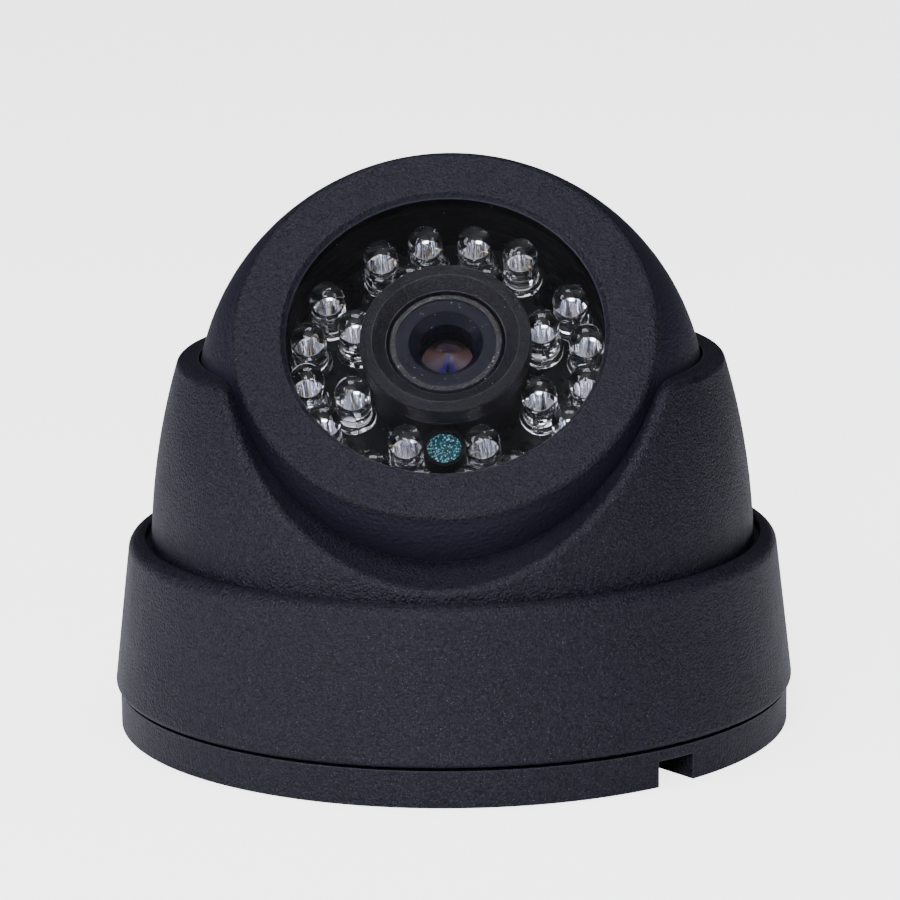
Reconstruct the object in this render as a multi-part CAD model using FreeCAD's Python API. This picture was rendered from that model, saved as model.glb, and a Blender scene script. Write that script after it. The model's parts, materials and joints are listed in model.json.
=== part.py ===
import FreeCAD, Part
import math
import os

# Dome camera: a mounting base, a twist-on cover, a panning turret collar and a tilting eyeball
# that holds an infra-red light board, an image sensor and a screw-in lens.
# Millimetres. Origin at the middle of the mounting face, +Z away from it, the camera looks to -Y.

os.makedirs("parts", exist_ok=True)

Vector = FreeCAD.Vector
z_axis = Vector(0, 0, 1)

# Eyeball and the way it looks
ball_radius = 35.0
ball_wall = 2.0
ball_sink = 18.15
view_elevation = 42.0
face_offset = 20.7
face_rounding = 1.0
face_ring_width = 5.65
shell_split = -4.5
shell_tongue = 1.5
shell_tongue_gap = 0.1
shell_cable_hole = 4.5
shell_cable_hole_turn = 24.0

# Window at the front of the eyeball
lip_thickness = 0.9
lip_bevel = 0.7
window_thickness = 1.0
window_ledge = 1.9
window_gap = 0.1
gasket_width = 1.4
gasket_thickness = 0.8
spacer_wall = 1.5
window_tube_wall = 1.8

# Turret collar around the eyeball
socket_gap = 0.35
collar_rim_above_ball = 7.75
collar_rim_wall = 2.8
collar_belly_above_cover = 13.0
collar_belly_wall = 4.75
collar_skirt_wall = 6.15
scoop_margin = 3.69
scoop_slope = 11.0
scoop_floor_above_cover = 2.05
scoop_corner_rounding = 3.0
scoop_edge_rounding = 1.1
neck_step = 1.9
seat_above_cover = 0.2
seat_wall = 3.4
clamp_gap = 0.1

# Twist-on base cover
cover_height = 26.3
cover_wall = 2.0
cover_shoulder = 2.2
cover_shoulder_rounding = 1.9
cover_foot_rounding = 0.8
cover_draft = 2.4
cover_recess = 1.2
groove_width = 0.8
pan_gap = 0.3
small_rounding = 0.3

# Pan retainer under the cover
retainer_thickness = 2.0
retainer_overlap = 1.7
retainer_bore_wall = 3.2
washer_thickness = 0.5
washer_width = 1.3
retainer_screw_count = 4
retainer_screw_bite = 6.0

# Mounting base
base_height = 5.0
base_floor = 2.2
base_inset = 0.7
base_rim_wall = 2.6
seam_gap = 0.4
cable_hole_radius = 9.0
ceiling_hole_radius = 2.2
ceiling_hole_circle = 35.0
ceiling_boss_wall = 2.3
ceiling_boss_height = 4.0
notch_angle = 42.0
notch_width = 6.0
notch_height = 3.5
channel_wall = 1.6
lock_ring_wall = 1.5
lock_ring_above_base = 4.5
lock_lug_reach = 1.3
lock_lug_thickness = 1.3
lock_lug_angle = 12.0
lock_tab_angle = 10.0
lock_tab_thickness = 1.7
lock_gap = 0.3
lock_count = 3
weld = 0.5
tolerance = 0.02

# Tilt pivots
pivot_radius = 1.8
pivot_running_gap = 0.05
pivot_depth = 2.3
pivot_end_gap = 0.3
pivot_boss_wall = 1.8
pivot_boss_length = 4.6
pivot_head_wall = 1.0
pivot_head_thickness = 1.2

# Infra-red light board
light_radius = 2.4
light_flange_wall = 0.5
light_flange_thickness = 1.0
light_length = 8.6
light_stand_off = 0.4
light_wall_gap = 0.45
light_flat = 0.2
light_below_face = 8.2
inner_ring_radius = 13.65
outer_ring_angles = (10, 30, 60, 80, 100, 120, 150, 170)
inner_ring_angles = (22.5, 67.5, 112.5, 157.5)
lead_size = 0.5
lead_spacing = 2.0
lead_hole_radius = 0.45
lead_foot = 0.9
cup_radius = 0.9
cup_foot_radius = 0.55
cup_wall = 0.2
cup_height = 1.3
cup_below_dome = 2.7
post_above_cup = 0.9
board_thickness = 1.6
board_gap = 0.2
board_ear_radius = 3.0
board_ear_out = 1.5

# Daylight sensor
resistor_count = 8
resistor_circle = 16.3
resistor_length = 2.0
resistor_width = 1.2
resistor_height = 0.5
day_sensor_radius = 2.3
day_sensor_thickness = 2.0
day_sensor_place = 13.9
day_sensor_below_face = 7.7
day_sleeve_wall = 0.55
day_sleeve_rim = 0.5
day_sleeve_gap = 0.05
day_lead_spacing = 2.6

# Lens, its holder and its hood
hood_radius = 11.5
hood_window_gap = 0.2
hood_rim_height = 3.4
hood_tube_gap = 0.8
hood_lip = 1.0
hood_band = 1.6
hood_bevel_wall = 0.3
hood_bevel_depth = 1.2
hood_throat = 1.6
lens_front_wall = 1.8
lens_behind_hood = 1.3
lens_front_length = 6.4
lens_thread_radius = 5.95
lens_thread_gap = 0.05
lens_length = 16.4
lens_rim_wall = 0.95
lens_cone_radius = 5.0
lens_hole_radius = 3.8
lens_cone_depth = 1.4
rear_glass_radius = 3.78
glass_gap = 0.02
front_ring_inset = 0.15
rear_glass_bulge = 0.6
rear_glass_inset = 1.2
glass_edge = 1.2
glass_bulge = 0.9
glass_below_cone = 1.3
holder_wall = 2.0
holder_base = 20.0
holder_base_thickness = 2.5
lock_nut_wall = 1.6
lock_nut_thickness = 1.1
lock_nut_gap = 0.1

# Sensor board
sensor_board_size = 32.0
sensor_board_drop = 10.4
spacer_square = 28.0
spacer_radius = 2.4
header_width = 7.2
header_depth = 3.6
header_height = 3.2
header_place = 15.2
socket_place = 12.9
wire_radius = 0.5
wire_pitch = 2.2
wire_bend = 1.6
wire_reach = 2.7
sensor_size = 10.0
sensor_thickness = 1.8
filter_size = 8.4
filter_thickness = 0.6
filter_opening = 3.7
holder_ledge = 1.2
sensor_room = 1.6
capacitor_radius = 1.4
capacitor_height = 4.2
chip_height = 1.4
header_wall = 0.6
main_header_length = 12.0
main_header_width = 4.4
main_header_height = 4.5
main_header_floor = 1.2

# Screws
screw_radius = 1.25
screw_gap = 0.3
screw_head_radius = 2.0
screw_head_height = 1.6
shell_screw_head_radius = 2.4
shell_screw_well_wall = 0.9
shell_screw_floor = 4.5
shell_screw_bite = 8.0
ear_screw_bite = 5.0
spacer_screw_bite = 3.0
holder_screw_bite = 1.6

# Sizes that follow from the ones above
ball_height = cover_height - ball_sink + ball_radius
ball_inner = ball_radius - ball_wall
socket_radius = ball_radius + socket_gap
rim_height = ball_height + collar_rim_above_ball
seat_height = cover_height + seat_above_cover
seat_below_ball = ball_height - seat_height
skirt_bottom = cover_height - cover_recess + pan_gap
lip_bottom = cover_height - cover_recess - cover_wall
neck_bottom = lip_bottom - washer_thickness - pan_gap
skirt_radius = socket_radius + collar_skirt_wall
neck_radius = skirt_radius - neck_step
cover_hole = neck_radius + pan_gap
recess_radius = skirt_radius + groove_width
cover_top_radius = recess_radius + cover_shoulder
cover_bottom = base_height + seam_gap
cover_bottom_radius = cover_top_radius + cover_draft
base_radius = cover_bottom_radius - base_inset
lock_ring_height = base_height + lock_ring_above_base
face_flat_radius = math.sqrt((ball_radius - face_rounding) ** 2 - (face_offset - face_rounding) ** 2)
scoop_radius = face_flat_radius + scoop_margin
scoop_axis_height = cover_height + scoop_floor_above_cover + scoop_radius
opening_radius = face_flat_radius - face_ring_width
window_top = face_offset - lip_thickness
light_dome_height = face_offset - light_below_face
day_sensor_top = face_offset - day_sensor_below_face
window_bottom = window_top - window_thickness
hood_front = window_bottom - hood_window_gap
lens_front = hood_front - lens_behind_hood
lens_rear = lens_front - lens_length
lens_front_radius = lens_thread_radius + lens_front_wall
hood_bevel_radius = lens_front_radius + hood_bevel_wall
lens_mouth_radius = lens_front_radius - lens_rim_wall
window_radius = opening_radius + window_ledge
window_seat = window_radius + window_gap
gasket_bottom = window_bottom - gasket_thickness
tube_radius = window_seat + window_tube_wall
light_base = light_dome_height + light_radius - light_length
board_top = light_base - light_stand_off
board_bottom = board_top - board_thickness
holder_top = lens_front - lens_front_length - lock_nut_thickness - 2 * lock_nut_gap
spacer_inner = window_radius - spacer_wall
outer_ring_radius = spacer_inner - light_radius - light_flange_wall - light_wall_gap
board_radius = window_seat - board_gap
ear_place = tube_radius + board_ear_out
sensor_board_top = board_bottom - sensor_board_drop
sensor_board_bottom = sensor_board_top - board_thickness
lens_axis_bore = lens_thread_radius + lens_thread_gap
holder_radius = lens_axis_bore + holder_wall
glass_seat = lens_front - lens_cone_depth - glass_below_cone - glass_bulge - glass_edge
holder_bottom = sensor_board_top + holder_base_thickness
filter_top = holder_bottom + filter_thickness
retainer_top = neck_bottom
retainer_bottom = retainer_top - retainer_thickness
retainer_radius = neck_radius + retainer_overlap
seat_radius = math.sqrt(socket_radius ** 2 - seat_below_ball ** 2) + seat_wall
retainer_screw_circle = (seat_radius + neck_radius) / 2


def turned(start, *steps):
    """Solid of revolution about Z. A step is (r, z) for a line or ((r, z), (r, z)) for an arc."""
    edges = []
    here = Vector(start[0], 0, start[1])
    for step in steps + (start,):
        if isinstance(step[0], tuple):
            middle = Vector(step[0][0], 0, step[0][1])
            there = Vector(step[1][0], 0, step[1][1])
            edges.append(Part.Arc(here, middle, there).toShape())
        else:
            there = Vector(step[0], 0, step[1])
            if there.distanceToPoint(here) < 1e-6:
                continue
            edges.append(Part.LineSegment(here, there).toShape())
        here = there
    face = Part.Face(Part.Wire(edges))
    solid = face.revolve(Vector(0, 0, 0), z_axis, 360)
    return solid


def disc(radius, low, high, x=0.0, y=0.0):
    """Upright cylinder between two heights."""
    return Part.makeCylinder(radius, high - low, Vector(x, y, low))


def ring(inner, outer, low, high):
    """Flat ring between two heights."""
    return disc(outer, low, high).cut(disc(inner, low - 1, high + 1))


def block(length, width, low, high, x=0.0, y=0.0):
    """Box centred on x and y between two heights."""
    return Part.makeBox(length, width, high - low, Vector(x - length / 2, y - width / 2, low))


def joined(shapes):
    """One solid from touching or overlapping shapes."""
    return shapes[0].fuse(shapes[1:]).removeSplitter()


def around(radius, angle):
    """Point on a circle, the angle counted clockwise from +Y seen from +Z."""
    turn = math.radians(angle)
    return radius * math.sin(turn), radius * math.cos(turn)


def on_sphere(radius, height):
    """Distance from the axis of a sphere's surface at a height from its centre."""
    return math.sqrt(radius ** 2 - height ** 2)


def sphere_point(radius, first, second):
    """Point of a centred sphere halfway between two heights, for the middle of an arc."""
    low = math.asin(first / radius)
    high = math.asin(second / radius)
    middle = (low + high) / 2
    return radius * math.cos(middle), radius * math.sin(middle)


def rounded_rings(shape, radius, *rings):
    """Rounds the circular edges about Z that have the given (radius, height)."""
    edges = []
    for edge in shape.Edges:
        if not isinstance(edge.Curve, Part.Circle):
            continue
        for ring_radius, height in rings:
            same_radius = abs(edge.Curve.Radius - ring_radius) < tolerance
            if same_radius and abs(edge.Curve.Center.z - height) < tolerance:
                edges.append(edge)
    return shape.makeFillet(radius, edges)


def sector(inner, outer, low, high, angle, span):
    """Piece of a flat ring, centred on an angle from +Y."""
    solid = Part.makeCylinder(outer, high - low, Vector(0, 0, low), z_axis, span)
    solid = solid.cut(disc(inner, low - 1, high + 1))
    solid.rotate(Vector(0, 0, 0), z_axis, 90 - angle - span / 2)
    return solid


def aimed(shape):
    """Moves a piece from the eyeball's own frame, +Z along the view, to its place."""
    placed = shape.copy()
    placed.rotate(Vector(0, 0, 0), Vector(1, 0, 0), 90 - view_elevation)
    placed.translate(Vector(0, 0, ball_height))
    return placed


def save(shape, name):
    """Writes one node."""
    solids = shape.Solids
    whole = solids[0] if len(solids) == 1 else Part.makeCompound(solids)
    whole.exportStep("parts/" + name + ".step")


def screw(x, y, seat, side, length, head_radius=screw_head_radius):
    """Pan head with a cross recess on one side (+1 up, -1 down) of its seat, shank on the other."""
    head = disc(head_radius, 0, screw_head_height)
    recess_low = 0.5 * screw_head_height
    slot_length = 1.3 * head_radius
    slot_width = 0.3 * head_radius
    head = head.cut(block(slot_length, slot_width, recess_low, screw_head_height + 1))
    head = head.cut(block(slot_width, slot_length, recess_low, screw_head_height + 1))
    solid = head.fuse(disc(screw_radius, -length, 0)).removeSplitter()
    if side < 0:
        solid.rotate(Vector(0, 0, 0), Vector(1, 0, 0), 180)
    solid.translate(Vector(x, y, seat))
    return solid


# ---- Mounting base ----

def mounting_base():
    """Shallow round plate with a rim, a cable channel, screw bosses and bayonet lugs."""
    rim_inner = base_radius - base_rim_wall
    lock_outer = lock_ring_outer()
    plate = disc(base_radius, 0, base_floor)
    rim = ring(rim_inner, base_radius, 0, base_height)
    lock_ring = ring(lock_outer - lock_ring_wall, lock_outer, 0, lock_ring_height)
    shapes = [plate, rim, lock_ring]
    for index in range(lock_count):
        angle = 360 / lock_count * index
        low = lock_ring_height - lock_lug_thickness
        shapes.append(sector(lock_outer - weld, lock_outer + lock_lug_reach, low, lock_ring_height,
                             angle, lock_lug_angle))
        x, y = around(ceiling_hole_circle, angle)
        shapes.append(disc(ceiling_hole_radius + ceiling_boss_wall, 0, ceiling_boss_height, x, y))
    # The channel runs from the rim to the middle hole and has a roof, so the lead lies under it.
    channel_length = base_radius - cable_hole_radius
    roof = block(notch_width + 2 * channel_wall, channel_length, 0, base_height,
                 0, -cable_hole_radius - channel_length / 2)
    roof = roof.common(disc(base_radius, 0, base_height))
    roof.rotate(Vector(0, 0, 0), z_axis, notch_angle)
    shapes.append(roof)
    body = joined(shapes)
    body = body.cut(disc(cable_hole_radius, -1, base_height + 1))
    channel = block(notch_width, base_radius + 2, -1, notch_height, 0, -(base_radius + 2) / 2)
    channel.rotate(Vector(0, 0, 0), z_axis, notch_angle)
    body = body.cut(channel)
    for index in range(lock_count):
        x, y = around(ceiling_hole_circle, 360 / lock_count * index)
        body = body.cut(disc(ceiling_hole_radius, -1, ceiling_boss_height + 1, x, y))
    return body


def lock_ring_outer():
    """Outside of the base's bayonet ring, clear of the cover's tabs and wall."""
    wall_inner = cover_wall_radius(lock_ring_height) - cover_wall
    return wall_inner - 2 * lock_gap - lock_lug_reach


def cover_wall_radius(height):
    """Outside radius of the drafted cover wall at a height."""
    share = (height - cover_bottom) / (cover_height - cover_bottom)
    return cover_bottom_radius + share * (cover_top_radius - cover_bottom_radius)


# ---- Base cover ----

def base_cover():
    """Drafted skirt with a rounded shoulder and a recessed lip that the turret turns on."""
    inner_bottom = cover_bottom_radius - cover_wall
    inner_top = cover_wall_radius(lip_bottom) - cover_wall
    body = turned((inner_bottom, cover_bottom), (cover_bottom_radius, cover_bottom),
                  (cover_top_radius, cover_height), (recess_radius, cover_height),
                  (recess_radius, cover_height - cover_recess), (cover_hole, cover_height - cover_recess),
                  (cover_hole, lip_bottom), (inner_top, lip_bottom))
    body = rounded_rings(body, cover_shoulder_rounding, (cover_top_radius, cover_height))
    body = rounded_rings(body, small_rounding, (recess_radius, cover_height))
    body = rounded_rings(body, cover_foot_rounding, (cover_bottom_radius, cover_bottom))
    tab_high = lock_ring_height - lock_lug_thickness - lock_gap
    tab_inner = lock_ring_outer() + lock_gap
    shapes = [body]
    for index in range(lock_count):
        tab = sector(tab_inner, inner_bottom + weld, tab_high - lock_tab_thickness, tab_high,
                     360 / lock_count * index, lock_tab_angle)
        shapes.append(tab)
    return joined(shapes)


# ---- Turret ----

def scooped_space():
    """Everything below the collar's rim, less a round tunnel that slopes down to the front."""
    slope = math.radians(scoop_slope)
    reach = 2 * skirt_radius
    direction = Vector(0, -math.cos(slope), -math.sin(slope))
    tunnel = Part.makeCylinder(scoop_radius, 2 * reach, direction * -reach, direction)
    tunnel.translate(Vector(0, 0, scoop_axis_height + skirt_radius * math.tan(slope)))
    front = Part.makeBox(2 * reach, reach, rim_height, Vector(-reach, -reach, 0)).cut(tunnel)
    corners = []
    for edge in front.Edges:
        span = edge.BoundBox
        runs_back = span.YLength > reach / 2 and span.XLength < reach / 2
        if runs_back and abs(span.ZMin - rim_height) < tolerance and abs(span.Center.x) < scoop_radius:
            corners.append(edge)
    front = front.makeFillet(scoop_corner_rounding, corners)
    back = Part.makeBox(2 * reach, reach, rim_height, Vector(-reach, 0, 0))
    return front.fuse(back)


def turret_collar():
    """Collar with a spherical socket, a scooped front and a neck that drops through the cover."""
    rim_inner = on_sphere(socket_radius, collar_rim_above_ball)
    seat_inner = on_sphere(socket_radius, seat_below_ball)
    middle = sphere_point(socket_radius, collar_rim_above_ball, -seat_below_ball)
    belly = (socket_radius + collar_belly_wall, cover_height + collar_belly_above_cover)
    rim_outer = rim_inner + collar_rim_wall
    body = turned((seat_radius, neck_bottom), (neck_radius, neck_bottom), (neck_radius, skirt_bottom),
                  (skirt_radius, skirt_bottom), (belly, (rim_outer, rim_height)),
                  (rim_inner, rim_height),
                  ((middle[0], middle[1] + ball_height), (seat_inner, seat_height)),
                  (seat_radius, seat_height))
    skin = None
    for face in body.Faces:
        if face.BoundBox.ZMin > skirt_bottom - tolerance and face.BoundBox.XMax > skirt_radius - tolerance:
            if face.BoundBox.ZMax > rim_height - tolerance:
                skin = face
    body = body.common(scooped_space()).removeSplitter()
    for side in (-1, 1):
        pocket = socket_radius + pivot_depth
        body = body.cut(Part.makeCylinder(pivot_radius + pivot_running_gap, pocket,
                                          Vector(0, 0, ball_height), Vector(side, 0, 0)))
    for x, y in retainer_screw_places():
        hole_end = neck_bottom + retainer_screw_bite + screw_gap
        body = body.cut(disc(screw_radius, neck_bottom - 1, hole_end, x, y))
    return body.makeFillet(scoop_edge_rounding, edges_on(body, skin, skirt_bottom + 1))


def edges_on(shape, skin, above):
    """Edges that lie on a skin face above a height, without the face's own seam."""
    found = []
    for edge in shape.Edges:
        if isinstance(edge.Curve, Part.Circle) and abs(edge.Curve.Axis.z) < 1 - tolerance:
            continue
        middle = edge.valueAt((edge.FirstParameter + edge.LastParameter) / 2)
        points = [vertex.Point for vertex in edge.Vertexes] + [middle]
        lies_on = True
        for point in points:
            if point.z < above or skin.distToShape(Part.Vertex(point))[0] > tolerance:
                lies_on = False
        if lies_on:
            found.append(edge)
    return found


def retainer_screw_places():
    """Places of the screws that hold the retainer ring to the neck."""
    places = []
    for index in range(retainer_screw_count):
        places.append(around(retainer_screw_circle, 360 / retainer_screw_count * (index + 0.5)))
    return places


def ball_clamp_ring():
    """Ring that closes the socket from below, shaped to the eyeball inside."""
    low = neck_bottom
    high = seat_height - clamp_gap
    inner_low = on_sphere(socket_radius, ball_height - low)
    inner_high = on_sphere(socket_radius, ball_height - high)
    middle = sphere_point(socket_radius, low - ball_height, high - ball_height)
    return turned((inner_low, low), (seat_radius - clamp_gap, low), (seat_radius - clamp_gap, high),
                  (inner_high, high), ((middle[0], middle[1] + ball_height), (inner_low, low)))


def pan_retainer_ring():
    """Flat ring screwed under the neck, wider than the hole in the cover."""
    body = ring(seat_radius - retainer_bore_wall, retainer_radius, retainer_bottom, retainer_top)
    for x, y in retainer_screw_places():
        body = body.cut(disc(screw_radius + screw_gap, retainer_bottom - 1, retainer_top + 1, x, y))
    return body


def pan_friction_washer():
    """Thin washer on the retainer that rubs under the cover's lip and holds the pan angle."""
    inner = neck_radius + pan_gap / 2
    return ring(inner, inner + washer_width, retainer_top, retainer_top + washer_thickness)


def retainer_screws():
    """Screws from below through the retainer ring into the neck."""
    screws = []
    for x, y in retainer_screw_places():
        screws.append(screw(x, y, retainer_bottom, -1, retainer_thickness + retainer_screw_bite))
    return Part.makeCompound(screws)


# ---- Eyeball shells, in the eyeball's own frame with +Z along the view ----

def shell_screw_places():
    """Places of the screws that join the two shells."""
    return [around(ear_place, angle) for angle in (60, 180, 300)]


def ear_places():
    """Places of the light board's ears."""
    return [around(ear_place, angle) for angle in (0, 120, 240)]


def pivot_boss():
    """Bosses inside the shell that hold the tilt pivots."""
    bosses = []
    for side in (-1, 1):
        start = Vector(side * (ball_inner + 1), 0, 0)
        bosses.append(Part.makeCylinder(pivot_radius + pivot_boss_wall, pivot_boss_length + 1, start,
                                        Vector(-side, 0, 0)))
    return bosses


def eyeball_front_shell():
    """Front of the eyeball: spherical side, flat face ring, window seat and screw bosses."""
    scale = ball_radius / (ball_radius - face_rounding)
    centre = (face_flat_radius, face_offset - face_rounding)
    tangent = (centre[0] * scale, centre[1] * scale)
    bend = math.atan2(centre[1], centre[0]) / 2 + math.pi / 4
    bend_middle = (centre[0] + face_rounding * math.cos(bend), centre[1] + face_rounding * math.sin(bend))
    split_outer = on_sphere(ball_radius, shell_split)
    split_middle_radius = ball_radius - ball_wall / 2
    step_outer = on_sphere(split_middle_radius, shell_split)
    step_high = shell_split + shell_tongue + shell_tongue_gap
    step_top = on_sphere(split_middle_radius, step_high)
    step_inner = on_sphere(ball_inner, step_high)
    plate_back = gasket_bottom
    plate_inner = on_sphere(ball_inner, plate_back)
    body = turned((step_outer, shell_split), (split_outer, shell_split),
                  (sphere_point(ball_radius, shell_split, tangent[1]), tangent),
                  (bend_middle, (face_flat_radius, face_offset)),
                  (opening_radius, face_offset), (opening_radius - lip_bevel, window_top),
                  (window_seat, window_top), (window_seat, board_top), (tube_radius, board_top),
                  (tube_radius, plate_back), (plate_inner, plate_back),
                  (sphere_point(ball_inner, plate_back, step_high), (step_inner, step_high)),
                  (step_top, step_high),
                  (sphere_point(split_middle_radius, step_high, shell_split), (step_outer, shell_split)))
    shapes = [body]
    for x, y in ear_places():
        shapes.append(disc(board_ear_radius, board_top, plate_back + weld, x, y))
    for x, y in shell_screw_places():
        shapes.append(disc(board_ear_radius, shell_split, plate_back + weld, x, y))
    bosses = shapes + pivot_boss()
    body = joined(bosses).common(Part.makeSphere(ball_radius))
    body = body.cut(disc(window_seat, shell_split - 1, window_top))
    for x, y in ear_places():
        body = body.cut(disc(screw_radius, board_top - 1, board_top + ear_screw_bite + screw_gap, x, y))
    for x, y in shell_screw_places():
        body = body.cut(disc(screw_radius, shell_split - 1, shell_split + shell_screw_bite + screw_gap, x, y))
    for side in (-1, 1):
        body = body.cut(Part.makeCylinder(pivot_radius, ball_radius + 1, Vector(0, 0, 0), Vector(side, 0, 0)))
    return rounded_rings(body, small_rounding, (opening_radius, face_offset))


def eyeball_rear_shell():
    """Rear of the eyeball with a locating tongue, screw wells and the lead's hole."""
    outer = Part.makeSphere(ball_radius)
    middle = Part.makeSphere(ball_radius - ball_wall / 2 - shell_tongue_gap)
    inner = Part.makeSphere(ball_inner)
    reach = 2 * ball_radius
    cap = outer.cut(inner).common(block(reach, reach, -reach, shell_split))
    tongue = middle.cut(inner).common(block(reach, reach, shell_split - weld, shell_split + shell_tongue))
    for x, y in shell_screw_places():
        tongue = tongue.cut(disc(board_ear_radius + screw_gap, shell_split, shell_split + 3, x, y))
    for side in (-1, 1):
        wall = pivot_radius + pivot_boss_wall + screw_gap
        tongue = tongue.cut(Part.makeCylinder(wall, ball_radius, Vector(0, 0, 0), Vector(side, 0, 0)))
    well_radius = shell_screw_head_radius + screw_gap + shell_screw_well_wall
    wells = []
    for x, y in shell_screw_places():
        wells.append(disc(well_radius, -ball_radius, shell_split, x, y).common(outer))
    body = joined([cap, tongue] + wells)
    for x, y in shell_screw_places():
        floor = shell_split - shell_screw_floor
        body = body.cut(disc(shell_screw_head_radius + screw_gap, -ball_radius, floor, x, y))
        body = body.cut(disc(screw_radius + screw_gap, -ball_radius, shell_split + 1, x, y))
    lead_hole = disc(shell_cable_hole, -ball_radius - 1, -ball_inner / 2)
    lead_hole.rotate(Vector(0, 0, 0), Vector(1, 0, 0), -shell_cable_hole_turn)
    return body.cut(lead_hole)


def shell_screws():
    """Screws in the rear shell's wells."""
    screws = []
    for x, y in shell_screw_places():
        floor = shell_split - shell_screw_floor
        length = shell_screw_floor + shell_screw_bite
        screws.append(screw(x, y, floor, -1, length, shell_screw_head_radius))
    return Part.makeCompound(screws)


def tilt_pivot_pins():
    """Headed pins pushed outwards through the shell into the collar's pockets."""
    pins = []
    for side in (-1, 1):
        tip = socket_radius + pivot_depth - pivot_end_gap
        head_outer = ball_inner - pivot_boss_length
        pin = Part.makeCylinder(pivot_radius, tip - head_outer, Vector(side * head_outer, 0, 0),
                                Vector(side, 0, 0))
        head = Part.makeCylinder(pivot_radius + pivot_head_wall, pivot_head_thickness,
                                 Vector(side * head_outer, 0, 0), Vector(-side, 0, 0))
        pins.append(pin.fuse(head).removeSplitter())
    return Part.makeCompound(pins)


def window():
    """Flat clear disc behind the face ring's lip."""
    return disc(window_radius, window_bottom, window_top)


def window_gasket():
    """Soft ring that seals the window from behind."""
    return ring(window_radius - gasket_width, window_radius, gasket_bottom, window_bottom)


def window_spacer():
    """Dark sleeve between the light board and the gasket."""
    return ring(spacer_inner, window_radius, board_top, gasket_bottom)


# ---- Infra-red light board ----

def light_places(radius, angles):
    """Places of the lights on one ring, mirrored about the upright middle line."""
    places = []
    for angle in angles:
        places.append(around(radius, -angle))
        places.append(around(radius, angle))
    return places


def leadframe(x, y):
    """Two square leads, one with a reflector cup at its top and one with a bond post."""
    cup_low = light_dome_height - cup_below_dome
    cup_high = cup_low + cup_height
    foot = board_bottom - lead_foot
    half = lead_spacing / 2
    lead = block(lead_size, lead_size, foot, cup_low, x + half, y)
    arm = block(half + lead_size, lead_size, cup_low - lead_size, cup_low + cup_wall,
                x + half / 2, y)
    cup = Part.makeCone(cup_foot_radius, cup_radius, cup_height, Vector(x, y, cup_low))
    bowl = Part.makeCone(cup_foot_radius - cup_wall, cup_radius - cup_wall / 2, cup_height - cup_wall,
                         Vector(x, y, cup_low + cup_wall))
    cup_side = joined([lead, arm, cup.cut(bowl)])
    post = block(lead_size, lead_size, foot, cup_low + post_above_cup, x - half, y)
    pair = Part.makeCompound([cup_side, post])
    pair.rotate(Vector(x, y, 0), z_axis, math.degrees(math.atan2(y, x)) + 90)
    return pair


def clear_light(x, y):
    """Clear epoxy body with a flange, a flat on it and a round top, hollow for the leadframe."""
    flange = light_radius + light_flange_wall
    top = light_dome_height + light_radius
    slant = light_radius * math.sqrt(0.5)
    body = turned((0, light_base), (flange, light_base), (flange, light_base + light_flange_thickness),
                  (light_radius, light_base + light_flange_thickness), (light_radius, light_dome_height),
                  ((slant, light_dome_height + slant), (0, top)))
    flat = block(flange, 2 * flange, light_base, light_base + light_flange_thickness,
                 light_radius + light_flat + flange / 2, 0)
    body = body.cut(flat)
    body.rotate(Vector(0, 0, 0), z_axis, math.degrees(math.atan2(y, x)) + 90)
    body.translate(Vector(x, y, 0))
    return body.cut(leadframe(x, y))


def clear_lights(places):
    """A ring of clear lights in one node."""
    return Part.makeCompound([clear_light(x, y) for x, y in places])


def leadframes(places):
    """The leadframes of a group of lights."""
    parts = []
    for x, y in places:
        parts.extend(leadframe(x, y).Solids)
    return Part.makeCompound(parts)


def spacer_places():
    """Corners of the square that the board spacers stand on."""
    half = spacer_square / 2
    return [(half, half), (-half, half), (-half, -half), (half, -half)]


def lead_holes(places):
    """Holes for the lights' leads through the board."""
    holes = []
    for x, y in places:
        turn = math.atan2(y, x) + math.pi / 2
        for side in (-1, 1):
            lead_x = x + side * lead_spacing / 2 * math.cos(turn)
            lead_y = y + side * lead_spacing / 2 * math.sin(turn)
            holes.append(disc(lead_hole_radius, board_bottom - 1, board_top + 1, lead_x, lead_y))
    return holes


def led_board(places):
    """Round circuit board with three ears, a middle hole and holes for leads and spacers."""
    shapes = [disc(board_radius, board_bottom, board_top)]
    for x, y in ear_places():
        shapes.append(disc(board_ear_radius, board_bottom, board_top, x, y))
        bridge = block(2 * board_ear_radius, ear_place, board_bottom, board_top, 0, ear_place / 2)
        bridge.rotate(Vector(0, 0, 0), z_axis, -math.degrees(math.atan2(x, y)))
        shapes.append(bridge)
    board = joined(shapes)
    holes = lead_holes(places)
    holes.append(disc(holder_radius + hood_tube_gap, board_bottom - 1, board_top + 1))
    for x, y in ear_places() + spacer_places():
        holes.append(disc(screw_radius + screw_gap, board_bottom - 1, board_top + 1, x, y))
    for side in (-1, 1):
        holes.append(disc(lead_hole_radius, board_bottom - 1, board_top + 1,
                          side * day_lead_spacing / 2, -day_sensor_place))
    return board.cut(holes)


def led_board_screws():
    """Screws that hold the light board's ears to the front shell."""
    screws = []
    for x, y in ear_places():
        screws.append(screw(x, y, board_bottom, -1, board_thickness + ear_screw_bite))
    return Part.makeCompound(screws)


def light_sensor():
    """Round photocell with two leads."""
    low = day_sensor_top - day_sensor_thickness
    cell = disc(day_sensor_radius, low, day_sensor_top, 0, -day_sensor_place)
    shapes = [cell]
    for side in (-1, 1):
        shapes.append(block(lead_size, lead_size, board_bottom - lead_foot, low + weld,
                            side * day_lead_spacing / 2, -day_sensor_place))
    return joined(shapes)


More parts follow.
